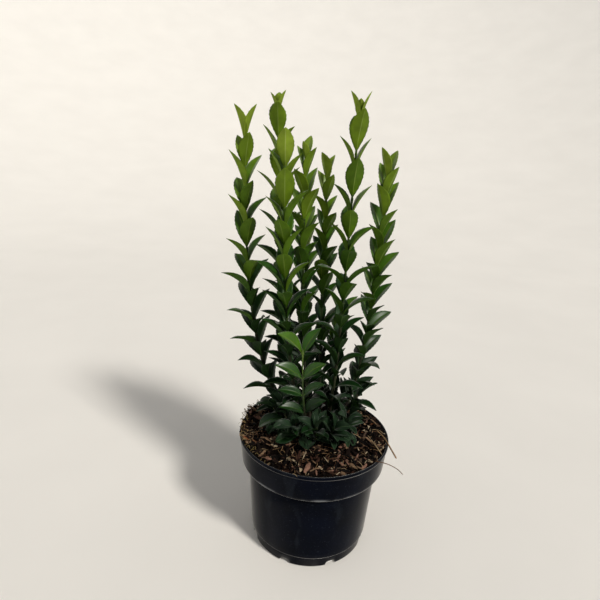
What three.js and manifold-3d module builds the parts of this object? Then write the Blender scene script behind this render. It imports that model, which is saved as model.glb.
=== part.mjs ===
// A young evergreen spindle shrub in a round nursery pot: upright leafy shoots over a low skirt of
// leaves. Millimetres, +Z up, origin at the centre of the pot's flat underside, -Y is the front.
import * as THREE from 'three';
import { mergeVertices } from 'three/addons/utils/BufferGeometryUtils.js';
import Module from 'manifold-3d';

const { degToRad: radians, lerp } = THREE.MathUtils;

const wasm = await Module();
wasm.setup();

const GAP = 0.3;
const ACROSS = new THREE.Vector3(1, 0, 0);

// Pot
const POT_HEIGHT = 130;
const POT_RIM_RADIUS = 85;
const RIM_BAND_HEIGHT = 32;
const RIM_BAND_FOOT_RADIUS = 81.5;
const BODY_TOP_RADIUS = 74;
const BODY_FOOT_RADIUS = 66.5;
const FOOT_RING_HEIGHT = 14;
const FOOT_RING_STEP = 1.2;
const FOOT_CHAMFER = { across: 3, up: 2.5 };
const BAND_EDGE = { across: 0.3, up: 2 };
const LIP_EDGE = { across: 0.7, up: 1.5 };
const WALL = 2;
const POT_FLOOR = 3.5;
const POT_SIDES = 36;
const DRAIN_NOTCHES = 8;
const DRAIN_NOTCH = { width: 11, height: 3.5, depth: 1.4 };

// Mulch
const MULCH_EDGE_HEIGHT = 125;
const MULCH_CENTRE_HEIGHT = 130;
const MULCH_FLAT_RADIUS = 34;
const MULCH_RINGS = 4;
const MULCH_BUMP = 0.65;
const MULCH_WAVES = [
  [0.31, 0.12],
  [-0.17, 0.37],
];

// Stems: each bare foot ends where the leaves begin, and thins from the ground to the bud.
const STEM_FOOT_HEIGHT = MULCH_CENTRE_HEIGHT + GAP;
const BARE_FOOT_HEIGHT = 12;
const STEM_FOOT_RADIUS = 2.5;
const STEM_FLARE = 1.35;
const STEM_LEAFY_RADIUS = 1.6;
const STEM_TIP_RADIUS = 0.9;
const STEM_SIDES = 7;
const STEM_STEPS = 2;
const TWIG_SIDES = 3;
const TWIG_CORNER_SHARE = 1.3;
const TWIG_STEPS = 6;
const STEM_END = 1;
const BUD_STEM = 8;
const AXIS_STEPS = 16;

// Leaves: opposite pairs, each pair turned a quarter against the one below.
const LEAF_OUTLINE = [
  { along: 0, width: 0 },
  { along: 0.36, width: 0.88 },
  { along: 0.74, width: 0.92 },
  { along: 1, width: 0 },
];
const LEAF_HALF_WIDTH = 0.23;
const LEAF_THICKNESS = 0.036;
const OLD_LEAF_FOLD = 0.4;
const YOUNG_LEAF_FOLD = 0.12;
const LEAF_ROOT_DEPTH = 0.6;
const YOUNG_LEAF_RISE = 79;
const OLD_LEAF_RISE = 42;
const BUD_LEAF_RISE = 71;
const YOUNG_LEAF_DROOP = 16;
const OLD_LEAF_DROOP = 56;
const AGE_TO_ARCH = 0.45;
const BUD_LEAF_SHARE = 0.5;
const RISE_POWER = 0.7;
const LEAF_JITTER = 8;
const SMALLEST_LEAF = 0.8;
const LENGTH_SCATTER = 0.12;
const FIRST_LEAF_ABOVE = 5;
const MIDDLE_SPACING = 0.5;
const SPACING_SCATTER = 0.3;

// A leaf stays this much nearer to its own stem than to any other, this far from any other stem, and
// this far above the ground.
const SPACE_MARGIN = 1.6;
const STEM_CLEARANCE = 4.5;
const GROUND_MARGIN = 1.5;
const LEAF_TURNS = [0, 16, -16, 32, -32, 48, -48];
const LEAF_LIFTS = [0, 12, 24, -10];
const LEAF_SHRINKS = [1, 0.85, 0.7];

// Upright shoots: where the stem leaves the ground, where its tip is, how high it climbs before it
// has turned upright, and how its leaves are set. A shoot with a bud has one more small pair on top,
// and a short side shoot starts with leaves that are already older.
const UPRIGHT_SHOOTS = [
  { name: 'left', foot: [-22, 8], top: [-88, 10, 437],
    settle: 85, pairs: 15, turn: 30, leaf: 38 },
  { name: 'tall_left', foot: [-13, 15], top: [-58, 30, 472],
    settle: 200, pairs: 16, turn: 2, leaf: 38, bud: true },
  { name: 'front_left', foot: [-11, -5], top: [-46, -22, 416],
    settle: 120, pairs: 15, turn: 84, leaf: 39 },
  { name: 'centre', foot: [-3, 3], top: [-27, 2, 425],
    settle: 120, pairs: 15, turn: 50, leaf: 35 },
  { name: 'rear_left', foot: [-5, 22], top: [-24, 52, 382],
    settle: 150, pairs: 12, turn: 38, leaf: 35 },
  { name: 'rear', foot: [6, 13], top: [-4, 32, 404],
    settle: 300, pairs: 14, turn: 35, leaf: 34 },
  { name: 'tall_right', foot: [12, 1], top: [20, -6, 465],
    settle: 45, pairs: 16, turn: 5, leaf: 38, bud: true },
  { name: 'right', foot: [26, 9], top: [55, 10, 408],
    settle: 70, pairs: 15, turn: 32, leaf: 37 },
  { name: 'front_short', foot: [-4, -14], top: [-19, -36, 238],
    settle: 50, pairs: 6, turn: 8, leaf: 40, age: 0.3 },
  { name: 'rear_short', foot: [13, 22], top: [22, 50, 246],
    settle: 60, pairs: 6, turn: 30, leaf: 35, age: 0.3 },
];

// Low shoots lean out all round the foot of the plant and carry small old leaves. Each has its
// direction, how far out its tip reaches and how high it rises.
const LOW_SHOOTS = [
  { angle: -12, reach: 44, rise: 46 },
  { angle: -36, reach: 40, rise: 24 },
  { angle: -62, reach: 38, rise: 20 },
  { angle: -90, reach: 38, rise: 24 },
  { angle: -122, reach: 38, rise: 22 },
  { angle: -148, reach: 42, rise: 40 },
  { angle: -174, reach: 46, rise: 26 },
  { angle: 142, reach: 46, rise: 26 },
  { angle: 84, reach: 46, rise: 30 },
  { angle: 40, reach: 46, rise: 34 },
];
const LOW_FOOT_RADIUS = 24;
const LOW_SETTLE = 30;
const LOW_LEAF = 30;
const LOW_PAIRS = 5;
const LOW_AGE = 0.8;
const LOW_TURN = 45;
const LOW_TWIG_STEPS = 2;

// Each shoot draws its own row of random numbers.
const FIRST_SEED = 23;
const SEED_STEP = 12;

const COLOURS = {
  pot: 0x1c2126,
  mulch: 0x4a3423,
  stem: 0x6b6a3c,
  leaf: 0x3f6a1e,
  lowLeaf: 0x35503a,
};

// The same seed always gives the same row of numbers between 0 and 1.
function makeRandom(seed) {
  let state = seed;
  return () => {
    state = (state * 1664525 + 1013904223) % 4294967296;
    return state / 4294967296;
  };
}

// Where a shoot's stem is at a share of its height: it leaves the ground outwards and settles
// towards its upright line.
function stemPoint(shoot, share) {
  const height = shoot.top[2] - STEM_FOOT_HEIGHT;
  const atTop = Math.exp(-height / shoot.settle);
  const fall = (Math.exp((-share * height) / shoot.settle) - atTop) / (1 - atTop);
  return new THREE.Vector3(
    shoot.top[0] + (shoot.foot[0] - shoot.top[0]) * fall,
    shoot.top[1] + (shoot.foot[1] - shoot.top[1]) * fall,
    STEM_FOOT_HEIGHT + share * height,
  );
}

function stemFrame(shoot, share) {
  const step = 0.01;
  const axis = stemPoint(shoot, share).sub(stemPoint(shoot, share - step)).normalize();
  const side = ACROSS.clone().addScaledVector(axis, -ACROSS.dot(axis)).normalize();
  return { axis, side, back: new THREE.Vector3().crossVectors(axis, side) };
}

function shareAtHeight(shoot, height) {
  return (height - STEM_FOOT_HEIGHT) / (shoot.top[2] - STEM_FOOT_HEIGHT);
}

// Where the leafy part of a shoot begins. A low shoot has no bare foot.
function leafyHeight(shoot) {
  return STEM_FOOT_HEIGHT + (shoot.low ? 0 : BARE_FOOT_HEIGHT + GAP);
}

function lowShoots() {
  return LOW_SHOOTS.map(({ angle, reach, rise }, index) => {
    const outward = [Math.cos(radians(angle)), Math.sin(radians(angle))];
    return {
      name: `low_${index + 1}`,
      foot: outward.map((share) => share * LOW_FOOT_RADIUS),
      top: [outward[0] * reach, outward[1] * reach, STEM_FOOT_HEIGHT + rise],
      settle: LOW_SETTLE,
      pairs: LOW_PAIRS,
      turn: angle + LOW_TURN,
      leaf: LOW_LEAF,
      age: LOW_AGE,
      low: true,
    };
  });
}

const SHOOTS = [...UPRIGHT_SHOOTS, ...lowShoots()];

// The line of every stem, from the ground to just past its bud.
const AXES = SHOOTS.map((shoot) => {
  const lines = [];
  for (let step = 0; step < AXIS_STEPS; step += 1) {
    const start = stemPoint(shoot, step / AXIS_STEPS);
    const end = stemPoint(shoot, (step + 1) / AXIS_STEPS);
    lines.push(new THREE.Line3(start, end));
  }
  return lines;
});

function distanceToStem(point, stem) {
  const nearest = new THREE.Vector3();
  let distance = Infinity;
  for (const line of AXES[stem]) {
    line.closestPointToPoint(point, true, nearest);
    distance = Math.min(distance, nearest.distanceTo(point));
  }
  return distance;
}

// True where a point is in the space of its own shoot and clear of the ground.
function inOwnSpace(point, own) {
  if (point.z < MULCH_CENTRE_HEIGHT + GROUND_MARGIN) return false;
  const limit = Math.max(distanceToStem(point, own) + SPACE_MARGIN, STEM_CLEARANCE);
  for (let other = 0; other < SHOOTS.length; other += 1) {
    if (other !== own && distanceToStem(point, other) < limit) return false;
  }
  return true;
}

// A point of a leaf: along its curved midrib, sideways to its edges, and through its thickness.
// The blade leaves the stem at the leaf's rise and bends down evenly by its droop.
function leafPoint(leaf, along, sideways, through) {
  const { axis, side, back } = leaf.frame;
  const outward = side.clone().multiplyScalar(Math.cos(leaf.turn));
  outward.addScaledVector(back, Math.sin(leaf.turn));
  const angle = leaf.rise - leaf.droop * along;
  const reach = (leaf.length * (Math.sin(leaf.rise) - Math.sin(angle))) / leaf.droop;
  const climb = (leaf.length * (Math.cos(angle) - Math.cos(leaf.rise))) / leaf.droop;
  const upper = axis.clone().multiplyScalar(Math.cos(angle));
  upper.addScaledVector(outward, -Math.sin(angle));
  const edge = new THREE.Vector3().crossVectors(outward, axis);
  return leaf.root
    .clone()
    .addScaledVector(outward, reach - LEAF_ROOT_DEPTH)
    .addScaledVector(axis, climb)
    .addScaledVector(edge, sideways)
    .addScaledVector(upper, Math.abs(sideways) * leaf.fold + through);
}

function leafFits(leaf, own) {
  const halfWidth = leaf.length * LEAF_HALF_WIDTH;
  for (const { along, width } of LEAF_OUTLINE.slice(1)) {
    for (const sideways of [-width, 0, width]) {
      if (!inOwnSpace(leafPoint(leaf, along, sideways * halfWidth, 0), own)) return false;
    }
  }
  return true;
}

// Turns, lifts and shrinks a leaf until it keeps to its own space. A leaf that never does is left out.
function settleLeaf(wanted, own) {
  for (const shrink of LEAF_SHRINKS) {
    for (const lift of LEAF_LIFTS) {
      for (const turn of LEAF_TURNS) {
        const leaf = {
          ...wanted,
          turn: wanted.turn + radians(turn),
          rise: wanted.rise + radians(lift),
          length: wanted.length * shrink,
        };
        if (leafFits(leaf, own)) return leaf;
      }
    }
  }
  return null;
}

// The share of its full length that a leaf has: most half-way down a shoot, less at both ends.
function leafSize(age) {
  return lerp(SMALLEST_LEAF, 1, Math.sin(Math.PI * lerp(0.1, 0.9, age)));
}

// Shares of a shoot's leafy length from each pair to the next. The pairs stand widest half-way down.
function pairSpacings(pairs, random) {
  const spacings = [];
  for (let pair = 1; pair < pairs; pair += 1) {
    const scatter = SPACING_SCATTER * (random() - 0.5);
    spacings.push(1 + MIDDLE_SPACING * Math.sin((Math.PI * pair) / pairs) + scatter);
  }
  const sum = spacings.reduce((total, spacing) => total + spacing, 0);
  return spacings.map((spacing) => spacing / sum);
}

// The leaves of one shoot, from the bud down. Young leaves stand up, old ones lean out and arch over.
function growLeaves(shoot, own) {
  const random = makeRandom(FIRST_SEED + SEED_STEP * own);
  const jitter = () => radians((random() * 2 - 1) * LEAF_JITTER);
  const spacings = pairSpacings(shoot.pairs, random);
  const firstShare = shareAtHeight(shoot, leafyHeight(shoot) + FIRST_LEAF_ABOVE);
  const budShare = shareAtHeight(shoot, shoot.top[2] - STEM_END);
  const lastShare = shareAtHeight(shoot, shoot.top[2] - (shoot.bud ? BUD_STEM : STEM_END));
  const leaves = [];
  let share = lastShare;
  for (let pair = shoot.bud ? -1 : 0; pair < shoot.pairs; pair += 1) {
    if (pair > 0) share -= spacings[pair - 1] * (lastShare - firstShare);
    const bud = pair < 0;
    const youngRise = bud ? BUD_LEAF_RISE : YOUNG_LEAF_RISE;
    const fullLength = shoot.leaf * (bud ? BUD_LEAF_SHARE : 1);
    const age = lerp(Math.max(0, pair) / shoot.pairs, 1, shoot.age ?? 0);
    const arch = Math.min(1, age / AGE_TO_ARCH);
    for (const half of [0, 1]) {
      const wanted = {
        root: stemPoint(shoot, bud ? budShare : share),
        frame: stemFrame(shoot, share),
        turn: radians(shoot.turn + pair * 90 + half * 180) + jitter(),
        rise: radians(lerp(youngRise, OLD_LEAF_RISE, age ** RISE_POWER)) + jitter() * arch,
        droop: radians(lerp(YOUNG_LEAF_DROOP, OLD_LEAF_DROOP, arch)) + jitter() / 2,
        length: fullLength * (leafSize(age) + LENGTH_SCATTER * (random() - 0.5)),
        fold: lerp(YOUNG_LEAF_FOLD, OLD_LEAF_FOLD, arch),
      };
      const leaf = settleLeaf(wanted, own);
      if (leaf) leaves.push(leaf);
    }
  }
  return leaves;
}

function toSolid(geometry) {
  const bare = geometry.clone();
  bare.deleteAttribute('normal');
  bare.deleteAttribute('uv');
  const merged = mergeVertices(bare, 1e-4);
  return new wasm.Manifold(new wasm.Mesh({
    numProp: 3,
    vertProperties: new Float32Array(merged.attributes.position.array),
    triVerts: new Uint32Array(merged.index.array),
  }));
}

function toGeometry(solid) {
  const mesh = solid.getMesh();
  const geometry = new THREE.BufferGeometry();
  geometry.setAttribute('position', new THREE.BufferAttribute(mesh.vertProperties, 3));
  geometry.setIndex(new THREE.BufferAttribute(mesh.triVerts, 1));
  geometry.computeVertexNormals();
  return geometry;
}

// Keeps the largest piece, so that a loose scrap is dropped and a sealed hollow is filled.
function largestPiece(solid) {
  const pieces = solid.decompose();
  pieces.sort((one, other) => other.volume() - one.volume());
  return pieces[0];
}

// Moves each point of a geometry to where a function of its old place says.
function bend(geometry, place) {
  const positions = geometry.attributes.position;
  const point = new THREE.Vector3();
  for (let index = 0; index < positions.count; index += 1) {
    point.fromBufferAttribute(positions, index);
    const moved = place(point);
    positions.setXYZ(index, moved.x, moved.y, moved.z);
  }
  return geometry;
}

// A tapering stem between two heights. Its rings lie level, so that both of its ends are cut flat.
function stemGeometry(shoot, shares, radii, sides, steps) {
  const cylinder = new THREE.CylinderGeometry(1, 1, 1, sides, steps);
  cylinder.rotateX(Math.PI / 2);
  return bend(cylinder, (point) => {
    const climb = point.z + 0.5;
    const radius = lerp(radii[0], radii[1], climb);
    const centre = stemPoint(shoot, lerp(shares[0], shares[1], climb));
    return centre.add(new THREE.Vector3(point.x * radius, point.y * radius, 0));
  });
}

// A leaf is a ball of four sides pressed flat along its curve: two of its edges are the leaf's edges
// and the other two its midrib, above and below. Its poles are the leaf's root and tip.
function leafGeometry(leaf) {
  const rings = LEAF_OUTLINE.length - 1;
  const ball = new THREE.SphereGeometry(1, 4, rings);
  const halfWidth = leaf.length * LEAF_HALF_WIDTH;
  const halfThickness = (leaf.length * LEAF_THICKNESS) / 2;
  return bend(ball, (point) => {
    const ring = Math.round(rings * (1 - Math.acos(point.y) / Math.PI));
    const { along, width } = LEAF_OUTLINE[ring];
    const radius = width > 0 ? Math.hypot(point.x, point.z) : Infinity;
    const sideways = (point.x / radius) * width * halfWidth;
    const through = (point.z / radius) * halfThickness;
    return leafPoint(leaf, along, sideways, through);
  });
}

// One mass of foliage: a leafy twig with its leaves fused on.
function foliageGeometry(shoot, own) {
  const shares = [shareAtHeight(shoot, leafyHeight(shoot)), 1];
  const radii = [STEM_LEAFY_RADIUS * TWIG_CORNER_SHARE, STEM_TIP_RADIUS * TWIG_CORNER_SHARE];
  const twigSteps = shoot.low ? LOW_TWIG_STEPS : TWIG_STEPS;
  let solid = toSolid(stemGeometry(shoot, shares, radii, TWIG_SIDES, twigSteps));
  for (const leaf of growLeaves(shoot, own)) {
    solid = solid.add(toSolid(leafGeometry(leaf)));
  }
  return toGeometry(largestPiece(solid));
}

// The bare foot of an upright stem, flared a little where it meets the ground.
function stemFootGeometry(shoot) {
  const shares = [0, shareAtHeight(shoot, STEM_FOOT_HEIGHT + BARE_FOOT_HEIGHT)];
  const radii = [STEM_FOOT_RADIUS, STEM_LEAFY_RADIUS];
  const stem = stemGeometry(shoot, shares, radii, STEM_SIDES, STEM_STEPS);
  return bend(stem, (point) => {
    if (point.z > STEM_FOOT_HEIGHT + GAP) return point;
    const centre = stemPoint(shoot, 0);
    return point.clone().sub(centre).multiplyScalar(STEM_FLARE).add(centre);
  });
}

// The pot's section: up the outside from the middle of its underside, over the lip and down inside.
function potOutline() {
  const bandFoot = POT_HEIGHT - RIM_BAND_HEIGHT;
  const ringRadius = lerp(BODY_FOOT_RADIUS, BODY_TOP_RADIUS, FOOT_RING_HEIGHT / bandFoot);
  return [
    [0, 0],
    [BODY_FOOT_RADIUS - FOOT_CHAMFER.across, 0],
    [BODY_FOOT_RADIUS, FOOT_CHAMFER.up],
    [ringRadius, FOOT_RING_HEIGHT - FOOT_RING_STEP],
    [ringRadius + FOOT_RING_STEP, FOOT_RING_HEIGHT],
    [BODY_TOP_RADIUS, bandFoot],
    [RIM_BAND_FOOT_RADIUS, bandFoot + GAP],
    [RIM_BAND_FOOT_RADIUS + BAND_EDGE.across, bandFoot + BAND_EDGE.up],
    [POT_RIM_RADIUS, POT_HEIGHT - LIP_EDGE.up],
    [POT_RIM_RADIUS - LIP_EDGE.across, POT_HEIGHT],
    [POT_RIM_RADIUS - WALL, POT_HEIGHT - LIP_EDGE.across],
    [RIM_BAND_FOOT_RADIUS - WALL, bandFoot + WALL],
    [BODY_TOP_RADIUS - WALL, bandFoot],
    [BODY_FOOT_RADIUS - WALL, POT_FLOOR],
    [0, POT_FLOOR],
  ];
}

function lathe(outline) {
  const points = outline.map(([radius, height]) => new THREE.Vector2(radius, height));
  const geometry = new THREE.LatheGeometry(points, POT_SIDES);
  geometry.rotateX(Math.PI / 2);
  return geometry;
}

function potGeometry() {
  let pot = toSolid(lathe(potOutline()));
  for (let index = 0; index < DRAIN_NOTCHES; index += 1) {
    const { width, height, depth } = DRAIN_NOTCH;
    const notch = new THREE.BoxGeometry(depth * 2, width, height * 2);
    notch.translate(BODY_FOOT_RADIUS, 0, 0);
    notch.rotateZ(((index + 0.5) * 2 * Math.PI) / DRAIN_NOTCHES);
    pot = pot.subtract(toSolid(notch));
  }
  return toGeometry(pot);
}

function mulchHeight(radius) {
  const edge = POT_RIM_RADIUS - WALL;
  const slope = Math.max(0, radius - MULCH_FLAT_RADIUS) / (edge - MULCH_FLAT_RADIUS);
  return lerp(MULCH_CENTRE_HEIGHT, MULCH_EDGE_HEIGHT, slope * slope);
}

// How far out the mulch reaches in the rim band, clear of the wall.
function mulchEdgeRadius() {
  const bandFoot = POT_HEIGHT - RIM_BAND_HEIGHT + WALL;
  const share = (MULCH_EDGE_HEIGHT - bandFoot) / (POT_HEIGHT - bandFoot);
  return lerp(RIM_BAND_FOOT_RADIUS, POT_RIM_RADIUS, share) - WALL - 3 * GAP;
}

function mulchOutline() {
  const shoulder = POT_HEIGHT - RIM_BAND_HEIGHT + WALL + 3 * GAP;
  const clear = WALL + 2 * GAP;
  const edge = mulchEdgeRadius();
  const outline = [
    [0, POT_FLOOR + GAP],
    [BODY_FOOT_RADIUS - clear, POT_FLOOR + GAP],
    [BODY_TOP_RADIUS - clear, shoulder],
    [RIM_BAND_FOOT_RADIUS - clear, shoulder],
    [edge, MULCH_EDGE_HEIGHT],
  ];
  for (let ring = 1; ring <= MULCH_RINGS; ring += 1) {
    const radius = lerp(edge, MULCH_FLAT_RADIUS, ring / MULCH_RINGS);
    outline.push([radius, mulchHeight(radius)]);
  }
  outline.push([0, MULCH_CENTRE_HEIGHT]);
  return outline;
}

// The mulch fills the pot, lies flat round the stems and falls a little, lumpily, to the rim.
function mulchGeometry() {
  return bend(lathe(mulchOutline()), (point) => {
    const onSlope = Math.hypot(point.x, point.y) > MULCH_FLAT_RADIUS + GAP;
    if (!onSlope || point.z < MULCH_EDGE_HEIGHT + GAP) return point;
    const waves = MULCH_WAVES.map(([across, along]) => Math.sin(point.x * across + point.y * along));
    return point.setZ(point.z + MULCH_BUMP * (waves[0] + waves[1]));
  });
}

function plastic() {
  return new THREE.MeshStandardMaterial({ color: COLOURS.pot, roughness: 0.5, metalness: 0 });
}

function bark() {
  return new THREE.MeshStandardMaterial({ color: COLOURS.mulch, roughness: 0.95, metalness: 0 });
}

function greenStem() {
  return new THREE.MeshStandardMaterial({ color: COLOURS.stem, roughness: 0.7, metalness: 0 });
}

function foliage(low) {
  const color = low ? COLOURS.lowLeaf : COLOURS.leaf;
  return new THREE.MeshStandardMaterial({ color, roughness: 0.4, metalness: 0 });
}

function addPart(group, name, geometry, material) {
  const mesh = new THREE.Mesh(geometry, material);
  mesh.name = name;
  group.add(mesh);
}

const plant = new THREE.Group();
addPart(plant, 'pot', potGeometry(), plastic());
addPart(plant, 'mulch', mulchGeometry(), bark());
SHOOTS.forEach((shoot, own) => {
  if (!shoot.low) addPart(plant, `stem_${shoot.name}`, stemFootGeometry(shoot), greenStem());
  addPart(plant, `foliage_${shoot.name}`, foliageGeometry(shoot, own), foliage(shoot.low));
});

export default plant;
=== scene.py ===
# Looks of a young evergreen spindle in a nursery pot, grown and dressed around its solids.
# Shapes are worked out in millimetres and go into the scene in metres.
import random
from math import atan2, ceil, cos, degrees, exp, hypot, pi, radians, sin, sqrt

import bpy
import numpy as np
from mathutils import Matrix, Vector


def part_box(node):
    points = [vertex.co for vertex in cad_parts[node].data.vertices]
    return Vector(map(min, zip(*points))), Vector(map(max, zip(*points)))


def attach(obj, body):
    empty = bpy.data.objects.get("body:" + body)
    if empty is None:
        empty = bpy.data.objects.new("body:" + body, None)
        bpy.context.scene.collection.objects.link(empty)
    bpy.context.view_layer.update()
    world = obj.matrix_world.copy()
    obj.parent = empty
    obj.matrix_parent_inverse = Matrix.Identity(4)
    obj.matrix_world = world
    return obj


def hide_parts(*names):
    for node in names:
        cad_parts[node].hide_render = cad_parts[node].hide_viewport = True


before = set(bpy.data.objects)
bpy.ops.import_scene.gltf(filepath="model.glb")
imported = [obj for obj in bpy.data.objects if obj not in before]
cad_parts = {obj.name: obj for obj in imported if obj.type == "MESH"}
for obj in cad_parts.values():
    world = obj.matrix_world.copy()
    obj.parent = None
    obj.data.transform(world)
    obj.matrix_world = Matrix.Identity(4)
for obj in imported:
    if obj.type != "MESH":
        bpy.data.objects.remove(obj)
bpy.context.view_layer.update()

MM = 0.001

# Camera: place in metres, angles in radians, lens and sensor in millimetres.
CAMERA_PLACE = (-0.02502, -0.4663, 0.4247)
CAMERA_PITCH = -0.2912
CAMERA_ROLL = 0.0589
CAMERA_LENS = 27.62
CAMERA_SENSOR = 36.0
CAMERA_NEAREST = 0.01

# Pot, from its solid's box: the same section, with rounded corners.
POT_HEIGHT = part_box("pot")[1].z / MM
RIM_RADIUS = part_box("pot")[1].x / MM
BAND_HEIGHT = 32.0
BAND_FOOT = POT_HEIGHT - BAND_HEIGHT
BAND_FOOT_RADIUS = RIM_RADIUS - 3.5
BODY_TOP_RADIUS = RIM_RADIUS - 11.0
BODY_FOOT_RADIUS = RIM_RADIUS - 18.5
RING_HEIGHT = 14.0
RING_STEP = 1.2
WALL = 2.0
FLOOR_HEIGHT = 3.5
LONGEST_STRETCH = 6.0
POT_SIDES = 192
NOTCHES = 8
NOTCH_WIDTH = 11.0
NOTCH_HEIGHT = 3.5
NOTCH_DEPTH = 1.4
NOTCH_REACH = 6.0
NOTCH_END = 1.1
NOTCH_SOFTNESS = 0.2
NOTCH_LIFT = 0.9
WOBBLE_FROM = 20

# Mulch
MULCH_EDGE_HEIGHT = 125.0
MULCH_HEIGHT = 130.0
MULCH_SHOWN_EDGE = 128.0
HEAP_HEIGHT = 8.5
HEAP_DIRECTION = 172
HEAP_SPREAD = 42
MULCH_FLAT_RADIUS = 34.0
MULCH_RINGS = 34
MULCH_SIDES = 120
BED_GAP = 0.6
BED_FLOOR_GAP = 0.3
BED_EDGE_GAP = 0.9
BED_SUNK = 1
BED_EDGE_ROUNDING = 0.4

# Chips: numbers, millimetres, degrees, the spread of their lengths, and shares of a chip's size.
CHIPS = 2700
CHIP_SEED = 41
CHIP_SIDES = 5
CHIP_LENGTH = 4.1
CHIP_LENGTH_SPREAD = (0.6, 0.5)
LONGEST_CHIP = 20.0
WIDEST_CHIP = 4.6
CHIP_SLIMNESS = (0.13, 0.48)
CHIP_FLATNESS = (0.25, 0.65)
THINNEST_CHIP = 0.6
CHIP_LIFT = (-1.2, 2.2)
CHIP_TILT = 24
CHIP_ROLL = 40
CHIP_BEND = 0.5
CHIP_RINGS = ((0.08, 0.62), (0.36, 1.0), (0.66, 0.96), (0.92, 0.58))
CHIP_CORNERS = (0.65, 1.2)
CHIP_SWELLING = (0.75, 1.2)
CHIP_SPLINTERS = 0.07
CHIP_INSET = 0.3
CHIP_REACH = 0.36
CHIP_EDGE_GAP = 0.8
CHIPS_OVER_RIM = 1.6
NOTABLE_CHIP_LIFT = 2.2
NOTABLE_CHIP_ROLL = 12

# Fibres and fuzz: numbers, millimetres, bow as a share of the length and a way that no fibre lies.
FIBRES = 200
FUZZ = 150
FIBRE_SEED = 42
FIBRE_LENGTH = (6, 20)
FIBRE_HUMP = (0.5, 3)
FIBRE_RADIUS = (0.12, 0.35)
FIBRE_EDGE_GAP = 1.5
FIBRE_POINTS = 8
FIBRE_BOW = 0.9
FIBRE_LIFT = 1.0
NO_FIBRE_WAY = (0.13, 0.2, 1)
STRAW_SIDES = 6
FUZZ_LENGTH = (2.5, 7)
FUZZ_HUMP = (0.5, 3.5)
FUZZ_RADIUS = (0.12, 0.3)
FUZZ_INSIDE = 9
FUZZ_OUTSIDE = 0.5
FUZZ_SPREAD = 0.75

# Stems
FOOT_HEIGHT = MULCH_HEIGHT + 0.3
STEM_SUNK = 5.0
STEM_FOOT_RADIUS = 2.5
STEM_RADIUS = 1.6
STEM_TIP_RADIUS = 0.8
STEM_SIDES = 12
STEM_STEP = 2.0
STEM_FLARE_HEIGHT = 30
STEM_SQUARENESS = 0.05
STEM_SEED_STEP = 5
FOOT_SWELLING = 0.8
FOOT_SWELLING_HEIGHT = 3
NODE_SWELLING = 0.45
NODE_LENGTH = 1.6
BARK_RIDGES = 0.14
BARK_FADE = 2.5
BARK_CHANGE = 0.2
STEM_POINT = 1.5
AXIS_STEPS = 8
SMOOTH_STEP = 0.01

# A stem's tone changes at these shares of its height, from the tip down. A low one has one tone.
STEM_TONE_LIMITS = (0.8, 0.42, 0.12)
LOW_STEM_TONE = 2

# Buds: millimetres, and the places and widths of their rings as shares.
BUD_RINGS = ((0.15, 0.7), (0.4, 1.0), (0.7, 0.62))
BUD_SIDES = 6
BUD_LENGTH = 3.2
BUD_RADIUS = 0.75
BUD_ABOVE = 1.2
BUD_LEAN = 0.45
BUD_SUNK = 0.7
GREEN_BUDS_ABOVE = 0.5
TIP_BUD_LENGTH = 9.0
TIP_BUD_RADIUS = 1.5

# Leaves: millimetres, degrees, and shares of a leaf's length or half width.
LEAF_HALF_WIDTH = 0.2
OLD_SLIMNESS = 0.8
LEAF_THICKNESS = 0.35
LEAF_ROWS = 20
LEAF_ROW_POWER = 0.94
LEAF_ACROSS = (-1, -0.82, -0.52, -0.22, -0.05, 0.05, 0.22, 0.52, 0.82, 1)
LEAF_STALK = 0.07
STALK_HALF_WIDTH = 0.75
STALK_COLOUR_END = 1.6 * LEAF_STALK
OUTLINE_POWER = 0.98
BLUNT_SHIFT = 0.6
BLUNT_FILL = 0.34
YOUNG_BLUNTNESS = 0.45
LEAF_TEETH = 0.03
TEETH_FROM = 0.99
RIB_WIDTH = 0.12
RIB_GROOVE = 0.12
RIB_DEPTH = 0.5
RIB_TAPER = 0.7
RIB_COLOUR_WIDTH = 0.05
EDGE_THICKNESS = 1.02
TIP_TAPER = 0.06
OLD_FOLD = 0.7
YOUNG_FOLD = 0.45
FOLD_SCATTER = (0.7, 1.25)
FOLD_ROUNDING = 0.1
OLD_CURL = 0.12
CURL_SCATTER = (0.3, 1.5)
LEAF_WAVE = 0.1
LEAF_WAVES = 7
LEAF_PHASES = (0, 6)
LEAF_TWIST = 16
LEAF_BEND = 0.05
ROOT_DEPTH = 0.6
YOUNG_RISE = 80
OLD_RISE = 55
BUD_RISE = 73
YOUNG_DROOP = 15
OLD_DROOP = 50
AGE_TO_ARCH = 0.6
ARCH_POWER = 0.5
BUD_SHARE = 0.5
JITTER = 10
SMALLEST_LEAF = 0.9
FOOT_LEAF = 0.9
FOOT_LEAF_AGE = 0.3
LENGTH_SCATTER = 0.2
FIRST_LEAF_ABOVE = 5
TOP_SPACING = 1.3
FOOT_SPACING = 0.7
SPACING_SCATTER = 0.3
BARE_FOOT_HEIGHT = 12
BUD_STEM = 8
YOUNGEST_SIZE = 0.1

# A leaf may be at most this much nearer to another stem than to its own, keeps this far from the
# other stems and stays this far above the ground. It is turned, lifted and shrunk until it does.
SPACE_OVERLAP = 12.0
STEM_CLEARANCE = 2.5
GROUND_MARGIN = 1.0
LEAF_TURNS = (0, 16, -16, 32, -32, 48, -48)
LEAF_LIFTS = (0, 12, 24, -10)
LEAF_SHRINKS = (1, 0.85, 0.7)
LEAF_TESTS = (0.36, 0.74, 1.0)

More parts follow.
